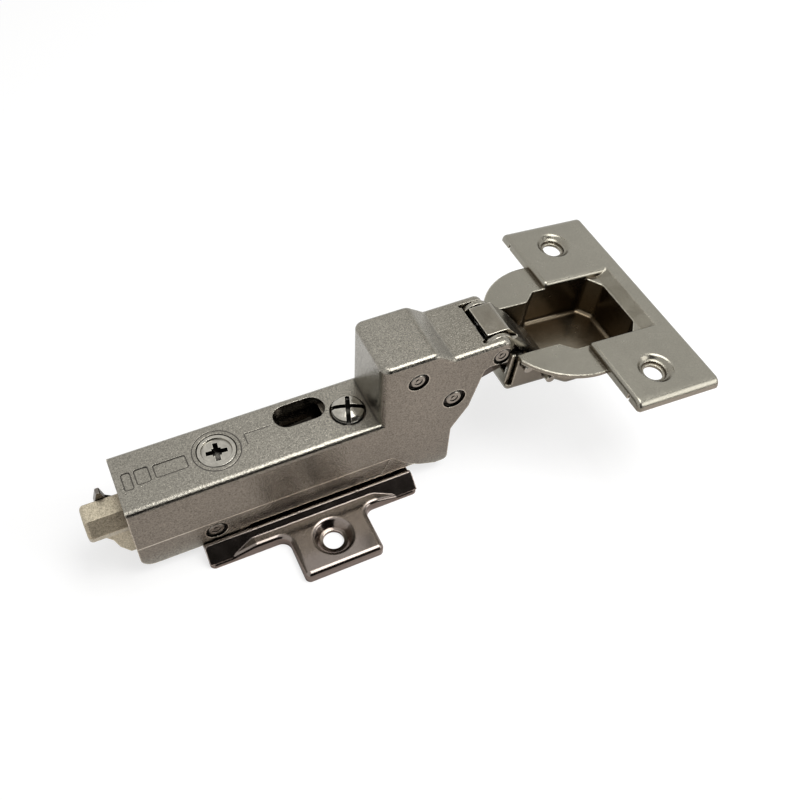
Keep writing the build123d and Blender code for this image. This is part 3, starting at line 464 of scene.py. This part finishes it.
def turned_steel(name, color, rough=(0.12, 0.22)):
    """Bright machined or headed steel: fine scratches, soft edges with a painted highlight, and
    painted shade in recesses.
    """
    mat, tree, bsdf = shader(name, color, 1.0, 0.18)
    where = place(tree)
    scratch = noise(tree, place(tree, (1, 6, 1)), 2600, 3, 0.65)
    mottle = between(tree, noise(tree, where, 900, 3), 0, 1)
    tone = mix(tree, mottle, tint(color, 0.82), tint(color, 1.1))
    # painted highlight on the edges
    tone = mix(tree, wear_and_highlight_edges(tree, where, 0.2 * MM), tone, tint(color, 1.9))
    # painted shade in the recesses
    recess = creases(tree, 2.4 * MM, 0.78, 0.50)
    tone = mix(tree, recess, tone, tint(color, RECESS_SHADE))
    tree.links.new(tone, bsdf.inputs["Base Color"])
    turned = between(tree, scratch, *rough)
    roughness = mix_value(tree, recess, turned, RECESS_ROUGHNESS)
    tree.links.new(roughness, bsdf.inputs["Roughness"])
    n = bump(tree, scratch, 0.008 * MM, 0.5, round_normal(tree, STEEL_ROUND))
    tree.links.new(n, bsdf.inputs["Normal"])
    return mat


def dark_steel(name, color, f, rough=(0.2, 0.36), highlight_gain=3.0):
    """Dark oiled steel for the inner pieces, with a painted highlight on edges and painted shade
    in creases.
    """
    mat, tree, bsdf = shader(name, color, 1.0, 0.3)
    where = place(tree)
    cloud = between(tree, noise(tree, where, 180, 4), 0, 1)
    tone = mix(tree, cloud, tint(color, 0.7), tint(color, 1.25))
    # painted highlight on the edges, painted shade in the creases
    tone = mix(tree, wear_and_highlight_edges(tree, where, 0.25 * MM), tone, tint(color, highlight_gain))
    tone = mix(tree, creases(tree, f.crease_shade_reach), tone, tint(color, 0.3))
    tree.links.new(tone, bsdf.inputs["Base Color"])
    roughness = between(tree, noise(tree, where, 700, 3), *rough)
    tree.links.new(roughness, bsdf.inputs["Roughness"])
    grain = noise(tree, where, 1800, 3)
    n = bump(tree, grain, 0.012 * MM, 0.6, round_normal(tree, STEEL_ROUND))
    tree.links.new(n, bsdf.inputs["Normal"])
    return mat


def painted_shade(name, color):
    """Matt dark sheet with a fine mottle, which paints shade in the grooves."""
    mat, tree, bsdf = shader(name, color, 0.3, 0.6)
    mottle = noise(tree, place(tree), 2200, 3)
    cloud = spread(tree, mottle, 0.35, 0.65, 0, 1)
    tone = mix(tree, cloud, tint(color, 0.6), tint(color, 1.8))
    tree.links.new(tone, bsdf.inputs["Base Color"])
    tree.links.new(between(tree, mottle, 0.5, 0.75), bsdf.inputs["Roughness"])
    tree.links.new(bump(tree, mottle, 0.01 * MM, 0.6), bsdf.inputs["Normal"])
    return mat


def dress(mat, *names):
    """Give CAD nodes their finish."""
    for name in names:
        mesh = NODES[name].data
        mesh.materials.clear()
        mesh.materials.append(mat)


# --------------------------------------------------------------- deck lines
def rounded_loop(x0, x1, y0, y1, radius):
    """Outline of a rounded rectangle, in millimetres."""
    loop = []
    for cx, cy, quarter in (
        (x1 - radius, y1 - radius, 0), (x0 + radius, y1 - radius, 1),
        (x0 + radius, y0 + radius, 2), (x1 - radius, y0 + radius, 3),
    ):
        for k in range(CORNER_STEPS + 1):
            a = math.radians(90 * (quarter + k / CORNER_STEPS))
            loop.append((cx + radius * math.cos(a), cy + radius * math.sin(a)))
    return loop


def mark_loop(mark, inset):
    """A field mark's outline, moved inwards by inset."""
    x0, x1, y0, y1 = mark
    return rounded_loop(x0 + inset, x1 - inset, y0 + inset, y1 - inset, CORNER - inset)


def ring_loop(cx, cy, radius):
    """Outline of a circle, in millimetres."""
    turns = [math.radians(360 * k / RING_STEPS) for k in range(RING_STEPS)]
    return [(cx + radius * math.cos(a), cy + radius * math.sin(a)) for a in turns]


def add_band(bm, outer, inner):
    """Fill the groove between two outlines with the same number of points."""
    rings = [
        [bm.verts.new((x * MM, y * MM, z)) for x, y in loop]
        for loop, z in (
            (outer, GROOVE_SHADE_LOW), (outer, GROOVE_SHADE_TOP), (inner, GROOVE_SHADE_TOP), (inner, GROOVE_SHADE_LOW),
        )
    ]
    count = len(outer)
    for first, second in zip(rings, rings[1:] + rings[:1]):
        for k in range(count):
            after = (k + 1) % count
            bm.faces.new((first[k], first[after], second[after], second[k]))


def add_bar(bm, x, y, x_size, y_size):
    """Fill a straight groove, given by its middle and size in millimetres."""
    low = [
        bm.verts.new(((x + sx * x_size / 2) * MM, (y + sy * y_size / 2) * MM, GROOVE_SHADE_LOW))
        for sx, sy in ((-1, -1), (1, -1), (1, 1), (-1, 1))
    ]
    top = [bm.verts.new((v.co.x, v.co.y, GROOVE_SHADE_TOP)) for v in low]
    bm.faces.new(low[::-1])
    bm.faces.new(top)
    for k in range(4):
        after = (k + 1) % 4
        bm.faces.new((low[k], low[after], top[after], top[k]))


def make_deck_lines(mat):
    """A dark sheet in the deck's grooves, which paints their shade."""
    bm = bmesh.new()
    for mark in FIELD_MARKS:
        add_band(bm, mark_loop(mark, -OVERLAP), mark_loop(mark, MARK_LINE))
    for seam in SEAMS:
        add_bar(bm, *seam)
    cx, cy, radius = CAM_RING
    add_band(bm, ring_loop(cx, cy, radius + RING_HALF), ring_loop(cx, cy, radius - RING_HALF))
    bmesh.ops.recalc_face_normals(bm, faces=bm.faces)
    mesh = bpy.data.meshes.new("deck_lines")
    bm.to_mesh(mesh)
    bm.free()
    mesh.materials.append(mat)
    piece = bpy.data.objects.new("deck_lines", mesh)
    bpy.context.scene.collection.objects.link(piece)
    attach(piece, "arm")


# --------------------------------------------------------------- operators
class HINGE_OT_arm(bpy.types.Operator):
    """Plated die-cast arm"""

    bl_idname = "hinge.arm"
    bl_label = "Arm"

    def execute(self, context):
        f = context.scene.hinge_finishes
        dress(cast_nickel("cast_nickel", f.cast_color, f, arm=True), "arm_body")
        # a dark sheet that paints shade in the deck's grooves
        make_deck_lines(painted_shade("painted_groove_shade", f.groove_shade_color))
        return {"FINISHED"}


class HINGE_OT_cup(bpy.types.Operator):
    """Pressed cup and folded front link"""

    bl_idname = "hinge.cup"
    bl_label = "Cup and front link"

    def execute(self, context):
        f = context.scene.hinge_finishes
        cup = sheet_nickel("cup_nickel", f.sheet_color, f, stretch=(1, 6, 1), soften=0.55 * MM)
        link = sheet_nickel("link_nickel", f.link_color, f, stretch=(1, 3, 1), streak=0.15)
        dress(cup, "hinge_cup")
        dress(link, "outer_link")
        return {"FINISHED"}


class HINGE_OT_plate(bpy.types.Operator):
    """Pressed wing plate"""

    bl_idname = "hinge.plate"
    bl_label = "Wing plate"

    def execute(self, context):
        f = context.scene.hinge_finishes
        glossy = sheet_nickel(
            "plate_nickel", f.plate_color, f,
            rough=(0.12, 0.18), stretch=(6, 1, 1), streak=0.3, highlight_gain=3.0,
        )
        dress(glossy, "base_plate")
        return {"FINISHED"}


class HINGE_OT_lever(bpy.types.Operator):
    """Raw zinc release lever"""

    bl_idname = "hinge.lever"
    bl_label = "Release lever"

    def execute(self, context):
        f = context.scene.hinge_finishes
        raw = cast_nickel(
            "raw_zinc", f.zinc_color, f,
            metallic=0.9, rough=(0.34, 0.46), unpitted=0.95, highlight_gain=1.5,
        )
        dress(raw, "release_lever")
        return {"FINISHED"}


class HINGE_OT_screws(bpy.types.Operator):
    """Screws, cam, pins and axle"""

    bl_idname = "hinge.screws"
    bl_label = "Screws and pins"

    def execute(self, context):
        f = context.scene.hinge_finishes
        bright = turned_steel("bright_steel", f.bright_color)
        pin = turned_steel("pin_steel", f.pin_color, rough=(0.14, 0.24))
        dress(bright, "overlay_screw", "depth_cam", "cup_axle")
        dress(pin, "tip_pin", "link_pin", "spring_pin", "rear_pivot_pin", "lever_pin")
        dress(pin, "rail_rivet_rear", "rail_rivet_front")
        return {"FINISHED"}


class HINGE_OT_inside(bpy.types.Operator):
    """Inner channel, rail, inner link, latch and springs"""

    bl_idname = "hinge.inside"
    bl_label = "Inner pieces"

    def execute(self, context):
        f = context.scene.hinge_finishes
        dark, pale, wire = f.dark_color, tint(f.dark_color, 2.6), tint(f.dark_color, 3.0)
        channel = dark_steel("dark_steel", dark, f, rough=(0.08, 0.2), highlight_gain=5.0)
        dress(channel, "carrier", "plate_rail")
        dress(dark_steel("link_steel", pale, f, highlight_gain=2.2), "inner_link")
        dress(dark_steel("blade_steel", pale, f, highlight_gain=2.0), "latch_leaf")
        spring = dark_steel("spring_steel", wire, f, rough=(0.2, 0.3))
        dress(spring, "closing_spring", "lever_spring")
        return {"FINISHED"}


class HINGE_OT_stage(bpy.types.Operator):
    """Floor, light and camera"""

    bl_idname = "hinge.stage"
    bl_label = "Studio"

    def execute(self, context):
        s = context.scene.hinge_studio
        make_floor()
        make_world(context.scene, s)
        make_lights(s)
        make_camera(context.scene, s)
        context.scene.view_settings.view_transform = "Standard"
        return {"FINISHED"}


# --------------------------------------------------------------- studio
FLOOR_SIZE = (1.2, 1.2)             # this and the places below are in metres
FLOOR_DROP = 0.05 * MM              # the floor lies just below the hinge
FLOOR_COLOR = (0.8, 0.8, 0.79)      # as matt surfaces see it
SEEN_PAPER = (0.36, 0.36, 0.36)     # as the camera sees it, with the glow added
SEEN_GLOW = 0.71
ROOM_COLOR = (1.0, 0.985, 0.965)    # as matt surfaces see it
SENSOR = 36                         # its width in millimetres
ARM_MIDDLE = (0.02, 0, 0.02)
CUP_NEAR_WING = (0.078, -0.029, 0.03)   # end of the cup's wing on the camera's side


def ray_mix(tree, seen, lit):
    """seen for camera, glossy and transmission rays, lit for the rest."""
    path = tree.nodes.new("ShaderNodeLightPath")
    direct = calc(tree, "MAXIMUM", path.outputs["Is Camera Ray"], path.outputs["Is Glossy Ray"])
    direct = calc(tree, "MAXIMUM", direct, path.outputs["Is Transmission Ray"])
    switch = tree.nodes.new("ShaderNodeMixShader")
    tree.links.new(direct, switch.inputs["Fac"])
    tree.links.new(lit, switch.inputs[1])
    tree.links.new(seen, switch.inputs[2])
    return switch.outputs["Shader"]


def glow(tree, kind, color, strength):
    """An emission or a background shader."""
    n = tree.nodes.new(kind)
    n.inputs["Color"].default_value = (*color, 1)
    n.inputs["Strength"].default_value = strength
    return n.outputs[0]


def matt(name, color, roughness):
    """A matt material without a highlight."""
    mat, tree, bsdf = shader(name, color, 0.0, roughness)
    bsdf.inputs["Specular IOR Level"].default_value = 0.0
    return mat, tree, bsdf


def flat_sheet(name, size, mat):
    """A rectangle in the XY plane."""
    w, h = size[0] / 2, size[1] / 2
    mesh = bpy.data.meshes.new(name)
    mesh.from_pydata([(-w, -h, 0), (w, -h, 0), (w, h, 0), (-w, h, 0)], [], [(0, 1, 2, 3)])
    mesh.materials.append(mat)
    obj = bpy.data.objects.new(name, mesh)
    bpy.context.scene.collection.objects.link(obj)
    return obj


def make_floor():
    """Pale floor. Where it is seen, part of it glows, so that it is white with a faint shadow."""
    mat, tree, bsdf = matt("floor_paper", FLOOR_COLOR, 0.9)
    paper = tree.nodes.new("ShaderNodeBsdfDiffuse")
    paper.inputs["Color"].default_value = (*SEEN_PAPER, 1)
    both = tree.nodes.new("ShaderNodeAddShader")
    tree.links.new(paper.outputs[0], both.inputs[0])
    tree.links.new(glow(tree, "ShaderNodeEmission", (1, 1, 1), SEEN_GLOW), both.inputs[1])
    out = next(n for n in tree.nodes if n.bl_idname == "ShaderNodeOutputMaterial")
    tree.links.new(ray_mix(tree, both.outputs[0], bsdf.outputs[0]), out.inputs["Surface"])
    floor = flat_sheet("floor", FLOOR_SIZE, mat)
    floor.location = (0, 0, -FLOOR_DROP)


def make_world(scene, s):
    """White where it is seen, a soft room for matt surfaces."""
    world = bpy.data.worlds.new("studio")
    scene.world = world
    world.use_nodes = True
    tree = world.node_tree
    tree.nodes.clear()
    out = tree.nodes.new("ShaderNodeOutputWorld")
    white = glow(tree, "ShaderNodeBackground", (1, 1, 1), 1.0)
    room = glow(tree, "ShaderNodeBackground", ROOM_COLOR, s.ambient)
    tree.links.new(ray_mix(tree, white, room), out.inputs["Surface"])


def stand(obj, at, right, up, back):
    """Place an object with its X, Y and Z axes along right, up and back."""
    turn = Matrix((right, up, back)).transposed()
    obj.matrix_world = Matrix.Translation(at) @ turn.to_4x4()


def area_light(name, at, aim, size, power):
    """A rectangular softbox, its width at right angles to the Y axis."""
    light = bpy.data.lights.new(name, "AREA")
    light.shape = "RECTANGLE"
    light.size, light.size_y = size
    light.energy = power
    obj = bpy.data.objects.new(name, light)
    back = (Vector(at) - Vector(aim)).normalized()
    right = Vector((0, 1, 0)).cross(back).normalized()
    stand(obj, at, right, back.cross(right), back)
    bpy.context.scene.collection.objects.link(obj)
    return obj


def reflection_card(name, at, aim, size, color):
    """A card that only reflections see."""
    mat = matt(name, color, 1.0)[0]
    obj = flat_sheet(name, size, mat)
    obj.location = at
    obj.rotation_euler = (Vector(aim) - Vector(at)).to_track_quat("Z", "Y").to_euler()
    obj.visible_camera = False
    obj.visible_diffuse = False
    obj.visible_shadow = False
    obj.visible_transmission = False


def make_lights(s):
    """Three softboxes, and the cards that the metal mirrors."""
    area_light(
        "overhead_softbox", at=(0.184, -0.041, 0.543), aim=ARM_MIDDLE,
        size=(0.30, 0.45), power=s.key_power,
    )
    area_light(
        "right_softbox", at=(0.46, -0.30, 0.44), aim=ARM_MIDDLE,
        size=(0.30, 0.30), power=s.side_power,
    )
    near = area_light(
        "cup_softbox", at=(0.203, -0.148, 0.108), aim=CUP_NEAR_WING,
        size=(0.10, 0.13), power=s.cup_power,
    )
    near.visible_camera = False
    reflection_card(
        "front_card", at=(0.17, -0.42, 0.255), aim=ARM_MIDDLE,
        size=(1.0, 0.54), color=(0.030, 0.028, 0.026),
    )
    reflection_card(
        "mouth_card", at=(0.084, 0.045, 0.105), aim=(0.088, 0, 0.03),
        size=(0.045, 0.032), color=(0.70, 0.67, 0.62),
    )
    reflection_card(
        "table_card", at=(0.03, -0.155, 0.00002), aim=(0.03, -0.155, 0.5),
        size=(0.56, 0.29), color=(0.76, 0.69, 0.665),
    )


def make_camera(scene, s):
    """Camera that looks at the target from its bearing and height angle."""
    cam = bpy.data.cameras.new("camera")
    cam.sensor_width = SENSOR
    cam.lens = s.lens
    cam.clip_start = 0.01
    obj = bpy.data.objects.new("camera", cam)
    level = math.cos(s.pitch)
    back = Vector((math.sin(s.yaw) * level, -math.cos(s.yaw) * level, math.sin(s.pitch)))
    right = Vector((0, 0, 1)).cross(back).normalized()
    up = back.cross(right)
    cos_roll, sin_roll = math.cos(s.roll), math.sin(s.roll)
    rolled_right = cos_roll * right + sin_roll * up
    rolled_up = cos_roll * up - sin_roll * right
    stand(obj, Vector(s.target) + back * s.distance, rolled_right, rolled_up, back)
    scene.collection.objects.link(obj)
    scene.camera = obj


# --------------------------------------------------------------- panel
class HINGE_PT_panel(bpy.types.Panel):
    """Lists the hinge's operators and settings"""

    bl_label = "Concealed hinge"
    bl_idname = "HINGE_PT_panel"
    bl_space_type = "VIEW_3D"
    bl_region_type = "UI"
    bl_category = "Hinge"

    def draw(self, context):
        layout = self.layout
        for operator in OPERATORS:
            layout.operator(operator.bl_idname)
        for group in (context.scene.hinge_finishes, context.scene.hinge_studio):
            box = layout.box()
            for key in group.__annotations__:
                box.prop(group, key)


OPERATORS = (
    HINGE_OT_arm,
    HINGE_OT_cup,
    HINGE_OT_plate,
    HINGE_OT_lever,
    HINGE_OT_screws,
    HINGE_OT_inside,
    HINGE_OT_stage,
)
CLASSES = (HingeFinishes, HingeStudio, *OPERATORS, HINGE_PT_panel)


def register():
    for cls in CLASSES:
        bpy.utils.register_class(cls)
    bpy.types.Scene.hinge_finishes = bpy.props.PointerProperty(type=HingeFinishes)
    bpy.types.Scene.hinge_studio = bpy.props.PointerProperty(type=HingeStudio)


def unregister():
    del bpy.types.Scene.hinge_studio
    del bpy.types.Scene.hinge_finishes
    for cls in reversed(CLASSES):
        bpy.utils.unregister_class(cls)


def main():
    register()
    bpy.ops.hinge.arm()
    bpy.ops.hinge.cup()
    bpy.ops.hinge.plate()
    bpy.ops.hinge.lever()
    bpy.ops.hinge.screws()
    bpy.ops.hinge.inside()
    bpy.ops.hinge.stage()


if __name__ == "__main__":
    main()
